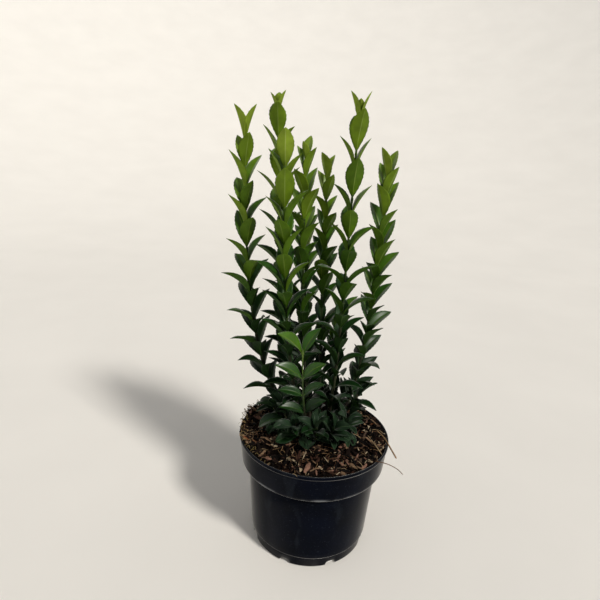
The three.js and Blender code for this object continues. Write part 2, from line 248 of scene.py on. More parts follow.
# A shoot's settings and what they are if it doesn't name them: a pair of young leaves round its tip,
# the size of its topmost pair, degrees of extra rise, the age of its youngest leaves, degrees of drift
# from pair to pair, how much painted shade darkens its leaves, how thick its stem is, degrees that its
# leaves turn towards the light, and whether it is a low shoot.
SHOOT_DEFAULTS = dict(bud=False, tip=1, lift=0, age=0, drift=0, dark=0, slim=1, face=0, low=False)

# Upright shoots, as in the solids' source: where the stem leaves the ground, where its tip is, how
# high it climbs before it has turned upright, and its leaves. The short shoot at the front has fewer
# and smaller leaves, turned towards the light.
UPRIGHT_SHOOTS = [
    dict(name="left", foot=(-22, 8), top=(-88, 10, 437), settle=85, pairs=15, turn=30, leaf=38),
    dict(name="tall_left", foot=(-13, 15), top=(-58, 30, 472),
         settle=200, pairs=16, turn=2, leaf=38, bud=True, tip=0.72),
    dict(name="front_left", foot=(-11, -5), top=(-46, -22, 416), settle=120, pairs=15, turn=84, leaf=39),
    dict(name="centre", foot=(-3, 3), top=(-27, 2, 425),
         settle=120, pairs=15, turn=50, leaf=35, tip=0.65),
    dict(name="rear_left", foot=(-5, 22), top=(-24, 52, 382), settle=150, pairs=12, turn=38, leaf=35),
    dict(name="rear", foot=(6, 13), top=(-4, 32, 404), settle=300, pairs=14, turn=35, leaf=34),
    dict(name="tall_right", foot=(12, 1), top=(20, -6, 465),
         settle=45, pairs=16, turn=5, leaf=38, bud=True, tip=0.86),
    dict(name="right", foot=(26, 9), top=(55, 10, 408), settle=70, pairs=15, turn=32, leaf=37),
    # The short shoot at the front: dark darkens its leaves as painted shade of the crown above it.
    dict(name="front_short", foot=(-4, -14), top=(-19, -36, 238),
         settle=50, pairs=4, turn=20, leaf=30, lift=-6, age=0.3, drift=80, dark=0.1,
         slim=0.7, face=38, tip=1.12),
    dict(name="rear_short", foot=(13, 22), top=(22, 50, 246),
         settle=60, pairs=6, turn=30, leaf=35, age=0.3),
]

# The scene's shoots carry more pairs than the solids', with longer leaves.
MORE_PAIRS = 1.25
LONGER_LEAF = 1.15

# Low shoots: direction, how far out the tip reaches and how high it rises.
LOW_SHOOTS = [
    (-12, 44, 46), (-36, 40, 24), (-62, 38, 20), (-90, 38, 24), (-122, 38, 22),
    (-148, 42, 40), (-174, 46, 26), (142, 46, 26), (84, 46, 30), (40, 46, 34),
]
LOW_FOOT_RADIUS = 24
LOW_SETTLE = 30
LOW_LEAF = 31
LOW_PAIRS = 8
LOW_AGE = 0.8
LOW_TURN = 45
LOW_WILDNESS = 2.6
LOW_SLIMNESS = (0.8, 1.05)
LOW_BLUNTNESS = (0.2, 0.8)

# Each shoot draws its own row of random numbers.
FIRST_SEED = 23
SEED_STEP = 12

# A leaf's place in the list of tones: where it starts, how far it runs down the shoot and its scatter.
FIRST_TONE = 0.6
TONE_SPAN = 6.2
TONE_POWER = 0.85
TONE_SCATTER = 0.55
DUSTY_SHARE = 0.8

# The floor is level and then sweeps up far away.
FLOOR_RADIUS = 1500
FLOOR_SWEEP = 6720
FLOOR_SWEEP_HEIGHT = 5400
FLOOR_RINGS = 16
FLOOR_SIDES = 64


def colour(red, green, blue):
    """A linear colour from the 0 to 255 values that a picture of it shows."""
    def linear(value):
        share = value / 255
        if share <= 0.04045:
            return share / 12.92
        return ((share + 0.055) / 1.055) ** 2.4

    return linear(red), linear(green), linear(blue), 1.0


# Leaf tones from the tip of a shoot to the ground: colours of the upper side, underside and midrib,
# roughness, gloss and wax. They darken towards the ground partly as older leaves do and partly as
# painted shade of the lower crown.
TONE_FIELDS = ("name", "upper", "under", "rib", "rough", "gloss", "wax")
LEAF_TONES = [dict(zip(TONE_FIELDS, tone)) for tone in (
    ("bud", (120, 148, 34), (124, 146, 40), (146, 164, 76), 0.5, 0.4, 0.35),
    ("young", (92, 126, 16), (98, 124, 18), (124, 146, 56), 0.46, 0.4, 0.35),
    ("fresh", (60, 97, 8), (73, 102, 8), (104, 128, 44), 0.42, 0.4, 0.35),
    ("green", (36, 74, 6), (50, 81, 5), (84, 110, 40), 0.4, 0.4, 0.32),
    ("deep", (19, 54, 8), (33, 62, 6), (64, 92, 36), 0.42, 0.32, 0.28),
    ("old", (8, 40, 6), (20, 47, 6), (44, 72, 26), 0.46, 0.2, 0.16),
    ("dusty", (20, 44, 21), (29, 51, 27), (60, 80, 52), 0.75, 0.12, 0.14),
)]

# How much of a tone's gloss and wax each side of a leaf shows, and how much rougher it is.
SIDE_LOOKS = dict(upper=(1, 1, 0), under=(0.08, 0, 0.25), rib=(0.3, 0.3, 0.12))

# Chip colours and how many of the chips have each, as a share.
CHIP_COLOURS = [
    ("black_brown", (9, 5, 3), 0.38),
    ("dark_brown", (24, 14, 9), 0.26),
    ("brown", (54, 34, 25), 0.14),
    ("grey_brown", (82, 66, 54), 0.085),
    ("tan", (128, 103, 80), 0.085),
    ("pinkish", (134, 100, 84), 0.03),
    ("straw", (176, 158, 130), 0.035),
    ("orange", (118, 72, 46), 0.004),
]

FIBRE_COLOURS = [
    ("brown", (104, 76, 54)),
    ("tan", (152, 122, 88)),
    ("straw", (178, 154, 118)),
    ("moss", (140, 122, 80)),
]
# Places in that list, the common ones more than once.
FIBRE_TONES = (0, 0, 1, 2)
FUZZ_TONES = (1, 2, 2, 3, 3, 3)

# Chips that stand out: both ends, the width and the colour.
NOTABLE_CHIPS = [
    ((-41, -25), (-35, -12), 4.5, "orange"),
    ((-11, -79), (-4, -63), 5.5, "pinkish"),
    ((9, -57), (23, -56), 3.0, "tan"),
    ((49, 41), (57, 26), 5.0, "pinkish"),
    ((-20, -68), (-13, -60), 4.0, "straw"),
    ((-45, -15), (-37, -29), 1.4, "straw"),
    ((-72, -11), (-68, 5), 1.4, "straw"),
    ((-17, -31), (-9, -43), 1.6, "tan"),
    ((-9, -43), (-2, -31), 3.0, "pinkish"),
    ((-9, -45), (-13, -60), 1.2, "straw"),
    ((-76, 30), (-67, 36), 2.4, "tan"),
    ((-47, -37), (-39, -39), 3.6, "straw"),
    ((60, 34), (76, 13), 2.2, "tan"),
    ((64, 16), (64, 1), 3.6, "straw"),
    ((74, -6), (82, 1), 3.2, "straw"),
    ((45, -30), (49, -20), 3.0, "straw"),
    ((33, -31), (38, -30), 4.0, "straw"),
    ((36, -58), (45, -67), 2.4, "tan"),
    ((47, -66), (54, -57), 4.0, "pinkish"),
    ((21, -78), (29, -70), 1.3, "straw"),
    ((-22, -33), (-15, -45), 3.0, "grey_brown"),
    ((-59, -18), (-59, 3), 1.8, "tan"),
    ((-74, -17), (-67, -26), 2.4, "tan"),
]

# Straws on the mulch and over the rim: radius, place in the list of fibre colours and path.
STRAWS = [
    (0.85, 1, [(72, 6, 131), (78.8, -11.9, 132.2), (83.8, -32.8, 131), (88, -42.3, 127)]),
    (0.42, 0, [(62, -52, 130), (71.5, -57.5, 132), (79.6, -57.4, 129), (86.9, -55.9, 124),
               (93.8, -55.1, 117)]),
    (0.5, 2, [(60, -7.5, 132.5), (66.6, -26.7, 132.3), (72.3, -42.2, 130.5)]),
]


def link(thing):
    bpy.context.scene.collection.objects.link(thing)
    return thing


def rows(*values):
    return np.array(values, float)


def unit(vector):
    return vector / np.linalg.norm(vector)


def lerp(low, high, share):
    return low + (high - low) * share


def circle(count):
    """Even turns round a circle."""
    return [2 * pi * step / count for step in range(count)]


def spoke(side, back, turn):
    """The direction at a turn from side towards back."""
    return side * cos(turn) + back * sin(turn)


def polar(radius, turn, *height):
    """A place by its distance from the axis and its turn round it."""
    return rows(radius * cos(turn), radius * sin(turn), *height)


class MeshParts:
    """Gathers the vertices and faces of many small shapes into one mesh."""

    def __init__(self):
        self.points = []
        self.faces = []
        self.slots = []
        self.count = 0

    def add(self, points, faces, slots):
        """Adds a shape with one material slot for all its faces, or a list with one for each."""
        self.points.append(points)
        self.faces.extend([[corner + self.count for corner in face] for face in faces])
        self.slots.extend(slots if isinstance(slots, list) else [slots] * len(faces))
        self.count += len(points)

    def build(self, name, materials, replaced=(), smooth=True):
        mesh = bpy.data.meshes.new(name)
        mesh.from_pydata((np.concatenate(self.points) * MM).tolist(), [], self.faces)
        for material in materials:
            mesh.materials.append(material)
        mesh.polygons.foreach_set("material_index", self.slots)
        mesh.polygons.foreach_set("use_smooth", [smooth] * len(self.faces))
        mesh.update()
        piece = link(bpy.data.objects.new(name, mesh))
        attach(piece, "root")
        if replaced:
            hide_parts(*replaced)
        return piece


def tube_faces(rings, sides):
    """Faces of a closed tube: a first pole, rings of points and a last pole."""
    faces = [[0, 1 + (side + 1) % sides, 1 + side] for side in range(sides)]
    for ring in range(rings - 1):
        start = 1 + ring * sides
        for side in range(sides):
            after = (side + 1) % sides
            faces.append([start + side, start + after, start + sides + after, start + sides + side])
    start = 1 + (rings - 1) * sides
    last = 1 + rings * sides
    faces.extend([[start + side, start + (side + 1) % sides, last] for side in range(sides)])
    return faces


# Shoots


def low_shoots():
    shoots = []
    for index, (angle, reach, rise) in enumerate(LOW_SHOOTS):
        outward = polar(1, radians(angle))
        shoots.append(dict(
            name=f"low_{index + 1}",
            foot=tuple(outward * LOW_FOOT_RADIUS),
            top=(*(outward * reach), FOOT_HEIGHT + rise),
            settle=LOW_SETTLE,
            pairs=LOW_PAIRS,
            turn=angle + LOW_TURN,
            leaf=LOW_LEAF,
            age=LOW_AGE,
            low=True,
        ))
    return shoots


def finer(shoot):
    """An upright shoot with more pairs of longer leaves."""
    pairs = round(shoot["pairs"] * MORE_PAIRS)
    return dict(shoot, pairs=pairs, leaf=shoot["leaf"] * LONGER_LEAF)


SHOOTS = [
    dict(SHOOT_DEFAULTS, **shoot) for shoot in (*map(finer, UPRIGHT_SHOOTS), *low_shoots())
]


def stem_points(shoot, shares):
    """Where a shoot's stem is at shares of its height: out from the ground, then upright."""
    shares = np.atleast_1d(np.asarray(shares, float))
    height = shoot["top"][2] - FOOT_HEIGHT
    at_top = exp(-height / shoot["settle"])
    fall = (np.exp(-shares * height / shoot["settle"]) - at_top) / (1 - at_top)
    top = rows(*shoot["top"])
    foot = rows(*shoot["foot"], FOOT_HEIGHT)
    points = top + (foot - top) * fall[:, None]
    points[:, 2] = FOOT_HEIGHT + shares * height
    return points


def stem_frame(shoot, share):
    """The stem's own directions at a share of its height: along it, sideways and backwards."""
    before, here = stem_points(shoot, [share - SMOOTH_STEP, share])
    axis = unit(here - before)
    across = rows(1, 0, 0)
    side = unit(across - axis * axis.dot(across))
    return axis, side, np.cross(axis, side)


def share_at_height(shoot, height):
    return (height - FOOT_HEIGHT) / (shoot["top"][2] - FOOT_HEIGHT)


def stem_segments():
    """Every stem as short straight lines: where each starts and the step to its end."""
    starts, steps = [], []
    for shoot in SHOOTS:
        points = stem_points(shoot, np.linspace(0, 1, AXIS_STEPS + 1))
        starts.append(points[:-1])
        steps.append(points[1:] - points[:-1])
    return np.concatenate(starts), np.concatenate(steps)


SEGMENT_STARTS, SEGMENT_STEPS = stem_segments()
SEGMENT_SQUARES = (SEGMENT_STEPS ** 2).sum(1)


def in_own_space(points, own):
    """True when all points are above the ground and near enough to their own shoot's stem."""
    if points[:, 2].min() < MULCH_HEIGHT + GROUND_MARGIN:
        return False
    offsets = points[:, None, :] - SEGMENT_STARTS
    along = np.einsum("psa,sa->ps", offsets, SEGMENT_STEPS)
    shares = np.minimum(np.maximum(along / SEGMENT_SQUARES, 0), 1)
    squares = np.einsum("psa,psa->ps", offsets, offsets)
    squares = squares - shares * (2 * along - shares * SEGMENT_SQUARES)
    nearest = np.sqrt(squares.reshape(len(points), len(SHOOTS), AXIS_STEPS).min(2))
    limit = np.maximum(nearest[:, own] - SPACE_OVERLAP, STEM_CLEARANCE)
    others = np.delete(nearest, own, axis=1).min(1)
    return bool((others >= limit).all())


# Leaves


def leaf_width(along, blunt):
    """Half the leaf's width as a share of its greatest. The blunter, the nearer the tip."""
    blade = np.clip((along - LEAF_STALK) / (1 - LEAF_STALK), 0, 1)
    wave = np.sin(np.pi * blade ** (OUTLINE_POWER + BLUNT_SHIFT * blunt))
    return wave ** (OUTLINE_POWER - BLUNT_FILL * blunt)


def leaf_points(leaf, along, across, through):
    """Points of a leaf. along runs from root to tip, across from edge to edge, both as shares,
    and through is in millimetres from the middle of its thickness."""
    axis, side, back = leaf["frame"]
    outward = spoke(side, back, leaf["turn"])
    edge = np.cross(outward, axis)
    angle = leaf["rise"] - leaf["droop"] * along
    reach = leaf["length"] * (sin(leaf["rise"]) - np.sin(angle)) / leaf["droop"]
    climb = leaf["length"] * (np.cos(angle) - cos(leaf["rise"])) / leaf["droop"]
    upper = axis * np.cos(angle)[:, None] - outward * np.sin(angle)[:, None]
    twist = leaf["twist"] * along - leaf["face"] * edge.dot(leaf["light"])
    sideways = edge * np.cos(twist)[:, None] + upper * np.sin(twist)[:, None]
    normal = upper * np.cos(twist)[:, None] - edge * np.sin(twist)[:, None]
    half = leaf["length"] * leaf["width"] * leaf_width(along, leaf["blunt"])
    half = half + STALK_HALF_WIDTH * (1 - along) ** 2
    spread = np.abs(across) * half
    valley = FOLD_ROUNDING * leaf["length"] * leaf["width"]
    lift = leaf["fold"] * (np.sqrt(spread ** 2 + valley ** 2) - valley)
    lift = lift - leaf["curl"] * half * across ** 4
    ripple = np.sin(leaf["phase"] + LEAF_WAVES * along)
    lift = lift + leaf["wave"] * half * across ** 3 * ripple
    bend = leaf["bend"] * leaf["length"] * along ** 2
    return (
        leaf["root"]
        + outward * (reach - ROOT_DEPTH)[:, None]
        + axis * climb[:, None]
        + sideways * (across * half + bend)[:, None]
        + normal * (lift + through)[:, None]
    )


def leaf_template():
    """Where the points of a leaf's skin lie, its faces and what each shows."""
    upper = list(LEAF_ACROSS)
    lower = list(LEAF_ACROSS[-2:0:-1])
    around = rows(*upper, *lower)
    sides = rows(*[1] * len(upper), *[-1] * len(lower))
    count = len(around)
    along = np.linspace(0, 1, LEAF_ROWS + 1)[1:-1] ** LEAF_ROW_POWER
    rings = len(along)
    alongs = rows(0, *np.repeat(along, count), 1)
    acrosses = rows(0, *np.tile(around, rings), 0)
    throughs = rows(0, *np.tile(sides, rings), 0)
    teeth = rows(0, *np.repeat(np.resize([1.0, -1.0], rings), count), 0)
    faces = tube_faces(rings, count)
    kinds = []
    for face in faces:
        middle = np.mean([acrosses[corner] for corner in face])
        side = np.mean([throughs[corner] for corner in face if 0 < corner < len(alongs) - 1])
        stalk = max(alongs[corner] for corner in face) < STALK_COLOUR_END
        if stalk or abs(middle) < RIB_COLOUR_WIDTH:
            kinds.append("rib")
        else:
            kinds.append("upper" if side > 0 else "under")
    return alongs, acrosses, throughs, teeth, faces, kinds


LEAF = leaf_template()
KINDS = ("upper", "under", "rib")


def leaf_skin(leaf):
    """A leaf's points: thin at the edges, grooved over the midrib and with a rib below it."""
    along, across, through, teeth, _, _ = LEAF
    thickness = LEAF_THICKNESS / 2 * np.sqrt(np.clip(EDGE_THICKNESS - across ** 2, 0, 1))
    rib = np.exp(-((across / RIB_WIDTH) ** 2)) * (1 - along) ** RIB_TAPER
    skin = through * thickness
    skin = skin - rib * np.where(through > 0, RIB_GROOVE, RIB_DEPTH)
    skin = skin * np.clip((1 - along) / TIP_TAPER, 0, 1)
    edged = across * (1 + LEAF_TEETH * teeth * (np.abs(across) > TEETH_FROM))
    return leaf_points(leaf, along, edged, skin)


def leaf_fits(leaf, own):
    """Tests a leaf's middle and edges at a few shares of its length."""
    along = np.repeat(LEAF_TESTS, 3)
    across = np.tile([-1.0, 0.0, 1.0], len(LEAF_TESTS))
    return in_own_space(leaf_points(leaf, along, across, np.zeros(len(along))), own)


def settle_leaf(wanted, own):
    """Turns, lifts and shrinks a leaf until it keeps to its own space, or gives it up."""
    for shrink in LEAF_SHRINKS:
        for lift in LEAF_LIFTS:
            for turn in LEAF_TURNS:
                leaf = dict(
                    wanted,
                    turn=wanted["turn"] + radians(turn),
                    rise=wanted["rise"] + radians(lift),
                    length=wanted["length"] * shrink,
                )
                if leaf_fits(leaf, own):
                    return leaf
    return None


def pair_shares(shoot, draws):
    """Where the leaf pairs stand, as shares of the shoot's height from its top down."""
    spacings = []
    for pair in range(1, shoot["pairs"]):
        scatter = SPACING_SCATTER * (draws.random() - 0.5)
        spacings.append(lerp(TOP_SPACING, FOOT_SPACING, pair / shoot["pairs"]) + scatter)
    bare = 0 if shoot["low"] else BARE_FOOT_HEIGHT
    first = share_at_height(shoot, FOOT_HEIGHT + bare + FIRST_LEAF_ABOVE)
    stem_end = BUD_STEM if shoot["bud"] else 1
    last = share_at_height(shoot, shoot["top"][2] - stem_end)
    down = np.cumsum([0, *spacings]) / sum(spacings)
    return last - down * (last - first)


def leaf_tone(shoot, age, draws):
    """Which tone a leaf has: lighter near the tip, darker down the shoot with age and with painted
    shade.
    """
    if shoot["low"]:
        return len(LEAF_TONES) - (1 if draws.random() < DUSTY_SHARE else 2)
    # Darker down the shoot partly with age and partly as painted shade; a shoot's dark adds more painted
    # shade.
    place = FIRST_TONE + TONE_SPAN * age ** TONE_POWER + shoot["dark"]
    place += draws.uniform(-TONE_SCATTER, TONE_SCATTER)
    return int(np.clip(place, 0, len(LEAF_TONES) - 2))


def grow_leaves(shoot, own):
    """The leaves of a shoot, in opposite pairs a quarter turn apart. Young ones stand up."""
    draws = random.Random(FIRST_SEED + SEED_STEP * own)
    low = shoot["low"]
    wild = LOW_WILDNESS if low else 1
    quarter = 90 + shoot["drift"]
    shares = list(pair_shares(shoot, draws))
    if shoot["bud"]:
        shares.insert(0, share_at_height(shoot, shoot["top"][2] - 1))
    leaves = []
    for place, share in enumerate(shares):
        pair = place - (1 if shoot["bud"] else 0)
        bud = pair < 0
        age = lerp(max(0, pair) / shoot["pairs"], 1, shoot["age"])
        arch = min(1, age / AGE_TO_ARCH) ** ARCH_POWER
        full = shoot["leaf"] * (BUD_SHARE if bud else 1)
        ripeness = sin(pi * lerp(YOUNGEST_SIZE, 1 - YOUNGEST_SIZE, age))
        size = lerp(SMALLEST_LEAF, 1, ripeness)
        size *= lerp(1, FOOT_LEAF, max(0, age - FOOT_LEAF_AGE) / (1 - FOOT_LEAF_AGE))
        size *= shoot["tip"] if pair == 0 else 1
        rise = lerp(BUD_RISE if bud else YOUNG_RISE, OLD_RISE, age)
        for half in (0, 1):
            jitter = [draws.uniform(-JITTER, JITTER) * wild for _ in range(3)]
            turn = shoot["turn"] + pair * quarter + half * 180 + jitter[0]
            wanted = dict(
                root=stem_points(shoot, share)[0],
                frame=stem_frame(shoot, share),
                turn=radians(turn),
                rise=radians(rise + shoot["lift"] * arch + jitter[1] * arch),
                droop=radians(lerp(YOUNG_DROOP, OLD_DROOP, arch) + jitter[2] * arch),
                length=full * (size + LENGTH_SCATTER * wild * (draws.random() - 0.5)),
                width=LEAF_HALF_WIDTH * (
                    draws.uniform(*LOW_SLIMNESS) if low else lerp(1, OLD_SLIMNESS, age)
                ),
                blunt=(
                    draws.uniform(*LOW_BLUNTNESS) if low else lerp(YOUNG_BLUNTNESS, 0.0, arch ** 0.5)
                ),
                fold=lerp(YOUNG_FOLD, OLD_FOLD, arch) * draws.uniform(*FOLD_SCATTER),
                curl=OLD_CURL * arch * draws.uniform(*CURL_SCATTER),
                wave=draws.uniform(-LEAF_WAVE, LEAF_WAVE) * arch,
                phase=draws.uniform(*LEAF_PHASES),
                twist=radians(draws.uniform(-LEAF_TWIST, LEAF_TWIST)) * arch * wild,
                face=radians(shoot["face"]),
                light=unit(rows(*shoot["top"][:2], 0)),
                bend=draws.uniform(-LEAF_BEND, LEAF_BEND) * arch,
                tone=0 if bud else leaf_tone(shoot, age, draws),
            )
            leaf = settle_leaf(wanted, own)
            if leaf:
                leaves.append(leaf)
    return leaves


# Materials


class Nodes:
    """A material's nodes around its shader. In the names of sockets _ stands for a space."""

    def __init__(self, name, roughness, **sockets):
        self.material = bpy.data.materials.new(name)
        self.material.use_nodes = True
        self.tree = self.material.node_tree
        self.shader = self.tree.nodes["Principled BSDF"]
        self.paint(Roughness=roughness, **sockets)
        self.place = self.new("TexCoord").outputs["Object"]

    def join(self, value, socket):
        """Links another node's output to a socket, or gives the socket a plain value."""
        if isinstance(value, bpy.types.NodeSocket):
            self.tree.links.new(value, socket)
        else:
            socket.default_value = value

    def put(self, node, **sockets):
        for name, value in sockets.items():
            self.join(value, node.inputs[name.replace("_", " ")])

    def new(self, kind, **sockets):
        node = self.tree.nodes.new(f"ShaderNode{kind}")
        self.put(node, **sockets)
        return node

    def paint(self, **sockets):
        self.put(self.shader, **sockets)

    def noise(self, scale, detail=3.0, stretch=None):
        place = self.place
        if stretch:
            place = self.new("Mapping", Scale=stretch, Vector=place).outputs["Vector"]
        return self.new("TexNoise", Scale=scale, Detail=detail, Vector=place).outputs["Fac"]

    def ramp(self, factor, stops):
        """Turns a number into a colour by stops of (place, colour)."""
        node = self.new("ValToRGB", Fac=factor)
        while len(node.color_ramp.elements) < len(stops):
            node.color_ramp.elements.new(0.5)
        for element, (place, tint) in zip(node.color_ramp.elements, stops):
            element.position = place
            element.color = tint
        return node.outputs["Color"]

    def spread(self, factor, low, high, to_low, to_high):
        """Stretches the range from low to high over the range from to_low to to_high."""
        limits = dict(From_Min=low, From_Max=high, To_Min=to_low, To_Max=to_high)
        return self.new("MapRange", Value=factor, **limits).outputs["Result"]

    def mix(self, factor, first, second):
        node = self.new("Mix")
        node.data_type = "RGBA"
        self.put(node, Factor=factor)
        sockets = [socket for socket in node.inputs if socket.type == "RGBA"]
        for socket, value in zip(sockets, (first, second)):
            self.join(value, socket)
        return [result for result in node.outputs if result.type == "RGBA"][0]

    def math(self, operation, first, second):
        node = self.new("Math")
        node.operation = operation
        for socket, value in zip(node.inputs, (first, second)):
            self.join(value, socket)
        return node.outputs["Value"]

    def away(self, value, place):
        """How far a number is from a place."""
        return self.math("ABSOLUTE", self.math("SUBTRACT", value, place), 0.0)

    def bump(self, height, strength, distance):
        node = self.new("Bump", Strength=strength, Distance=distance, Height=height)
        self.paint(Normal=node.outputs["Normal"])

    def mottled(self, texture, stops, strength, distance):
        """The material, coloured and bumped by one noise."""
        self.paint(Base_Color=self.ramp(texture, stops))
        self.bump(texture, strength, distance)
        return self.material


def shade(value, factor):
    return tuple(min(1.0, channel * factor) for channel in value[:3]) + (1.0,)


def leaf_material(tone, kind):
    gloss, wax, rough = SIDE_LOOKS[kind]
    nodes = Nodes(
        f"leaf_{tone['name']}_{kind}", tone["rough"] + rough,
        Coat_Weight=tone["gloss"] * gloss, Coat_Roughness=0.3, Specular_IOR_Level=0.2,
        Sheen_Weight=tone["wax"] * wax, Sheen_Roughness=0.35,
    )
    base = colour(*tone[kind])
    stops = [(0.3, shade(base, 0.78)), (0.5, base), (0.72, shade(base, 1.25))]
    nodes.paint(Base_Color=nodes.ramp(nodes.noise(95.0, 3.0), stops))
    nodes.bump(nodes.noise(700.0, 2.0), 0.25, 0.0003)
    return nodes.material


def stem_material(name, tone, dark, rough):
    nodes = Nodes(name, rough)
    streaks = nodes.noise(260.0, 4.0, stretch=(1.0, 1.0, 0.18))
    return nodes.mottled(streaks, [(0.32, colour(*dark)), (0.6, colour(*tone))], 0.5, 0.0006)


def pot_material():
    """Black plastic: haze, specks, scuffs, a pale worn line under the band, dust towards the foot, and
    painted highlights along the foot ring and the lip.
    """
    nodes = Nodes(
        "pot_black_plastic", 0.42, Specular_IOR_Level=0.01,
        Sheen_Weight=1.0, Sheen_Roughness=0.27, Sheen_Tint=(1.0, 0.98, 0.94, 1),
    )
    level = nodes.new("SeparateXYZ", Vector=nodes.place).outputs["Z"]
    haze = nodes.noise(26.0, 4.0)
    base = nodes.ramp(haze, [(0.3, colour(1, 4, 12)), (0.7, colour(4, 9, 23))])
    specks = nodes.spread(nodes.noise(620.0, 2.0), 0.64, 0.72, 0.0, 0.3)
    base = nodes.mix(specks, base, colour(58, 62, 68))
    scuffs = nodes.noise(60.0, 6.0, stretch=(1.0, 1.0, 0.35))
    scuffs = nodes.spread(scuffs, 0.58, 0.74, 0.0, 0.35)
    base = nodes.mix(scuffs, base, colour(40, 46, 54))
    ledge = (BAND_FOOT + 1.4) * MM
    worn = nodes.spread(nodes.away(level, ledge), 0.0003, 0.0030, 0.8, 0.0)
    patchy = nodes.spread(nodes.noise(30.0, 9.0), 0.48, 0.66, 0.02, 0.85)
    base = nodes.mix(nodes.math("MULTIPLY", worn, patchy), base, colour(132, 136, 140))
    # Painted highlight: a pale line along the step of the ring near the foot.
    ring = nodes.spread(nodes.away(level, RING_HEIGHT * MM), 0.0002, 0.0014, 0.17, 0.0)
    base = nodes.mix(ring, base, colour(84, 88, 94))
    # Painted highlight: a pale line along the top of the lip.
    lip_highlight = nodes.spread(level, (POT_HEIGHT - 0.9) * MM, POT_HEIGHT * MM, 0.0, 0.22)
    base = nodes.mix(lip_highlight, base, colour(88, 92, 94))
    dust = nodes.spread(level, 0.0, 0.02, 0.3, 0.0)
    dust = nodes.math("MULTIPLY", dust, nodes.spread(haze, 0.4, 0.65, 0.0, 1.0))
    base = nodes.mix(dust, base, colour(74, 70, 64))
    nodes.paint(Base_Color=base, Roughness=nodes.spread(haze, 0.3, 0.7, 0.38, 0.55))
    nodes.bump(nodes.noise(420.0, 3.0), 0.12, 0.0004)
    return nodes.material


def soil_material():
    nodes = Nodes("mulch_bed", 0.95, Specular_IOR_Level=0.05)
    stops = [(0.35, colour(6, 3, 2)), (0.6, colour(19, 12, 8)), (0.75, colour(42, 28, 19))]
    return nodes.mottled(nodes.noise(320.0, 5.0), stops, 0.9, 0.002)


def chip_material(name, tone):
    nodes = Nodes(f"chip_{name}", 0.85, Specular_IOR_Level=0.12)
    base = colour(*tone)
    stops = [(0.3, shade(base, 0.55)), (0.55, base), (0.78, shade(base, 1.35))]
    return nodes.mottled(nodes.noise(420.0, 4.0), stops, 0.6, 0.0006)


# Plant


def foliage_piece(shoot, leaves, materials):
    parts = MeshParts()
    faces, kinds = LEAF[4], LEAF[5]
    for leaf in leaves:
        slots = [leaf["tone"] * len(KINDS) + KINDS.index(kind) for kind in kinds]
        parts.add(leaf_skin(leaf), faces, slots)
    name = f"leaves_{shoot['name']}"
    return parts.build(name, materials, [f"foliage_{shoot['name']}"])


def stem_radii(shoot, heights, pair_heights):
    """Radii at heights of a stem: tapered, flared at the ground and swollen at the leaves."""
    share = np.clip(share_at_height(shoot, heights), 0, 1)
    radii = lerp(STEM_RADIUS, STEM_TIP_RADIUS, share) * shoot["slim"]
    above = np.maximum(heights - FOOT_HEIGHT, 0)
    if not shoot["low"]:
        radii += (STEM_FOOT_RADIUS - STEM_RADIUS) * np.exp(-above / STEM_FLARE_HEIGHT)
    radii += FOOT_SWELLING * np.exp(-above / FOOT_SWELLING_HEIGHT)
    for height in pair_heights:
        radii += NODE_SWELLING * np.exp(-(((heights - height) / NODE_LENGTH) ** 2))
    return radii


def stem_skin(shoot, pair_heights, own):
    """A stem's points: a little four-sided, with shallow bark ridges towards the ground."""
    draws = random.Random(FIRST_SEED + SEED_STEP * own + STEM_SEED_STEP)
    top = shoot["top"][2]
    count = max(8, int((top - FOOT_HEIGHT + STEM_SUNK) / STEM_STEP))
    heights = np.linspace(FOOT_HEIGHT - STEM_SUNK, top, count)
    radii = stem_radii(shoot, heights, pair_heights)
    turns = np.array(circle(STEM_SIDES))
    corner = 1 + STEM_SQUARENESS * np.cos(4 * (turns - radians(shoot["turn"])))
    ridges = np.array([draws.uniform(-1, 1) for _ in range(STEM_SIDES)])
    points = [stem_points(shoot, share_at_height(shoot, heights[0]))[0]]
    for height, radius in zip(heights, radii):
        share = share_at_height(shoot, height)
        _, side, back = stem_frame(shoot, max(share, SMOOTH_STEP))
        centre = stem_points(shoot, share)[0]
        woody = max(0.0, 1 - share * BARK_FADE)
        fresh = np.array([draws.uniform(-1, 1) for _ in range(STEM_SIDES)])
        ridges = (1 - BARK_CHANGE) * ridges + BARK_CHANGE * fresh
        reach = radius * (corner + BARK_RIDGES * woody * ridges)
        points.extend(
            centre + side * cos(turn) * out + back * sin(turn) * out
            for turn, out in zip(turns, reach)
        )
    points.append(stem_points(shoot, 1)[0] + rows(0, 0, STEM_POINT))
    return np.array(points), tube_faces(count, STEM_SIDES)


def bud_skin(root, axis, outward, length, radius):
    """A small pointed bud: rings that swell and close again."""
    side = unit(outward - axis * axis.dot(outward))
    back = np.cross(axis, side)
    points = [root]
    for share, width in BUD_RINGS:
        for turn in circle(BUD_SIDES):
            reach = spoke(side, back, turn) * radius * width
            points.append(root + axis * length * share + reach)
    points.append(root + axis * length)
    return np.array(points), tube_faces(len(BUD_RINGS), BUD_SIDES)


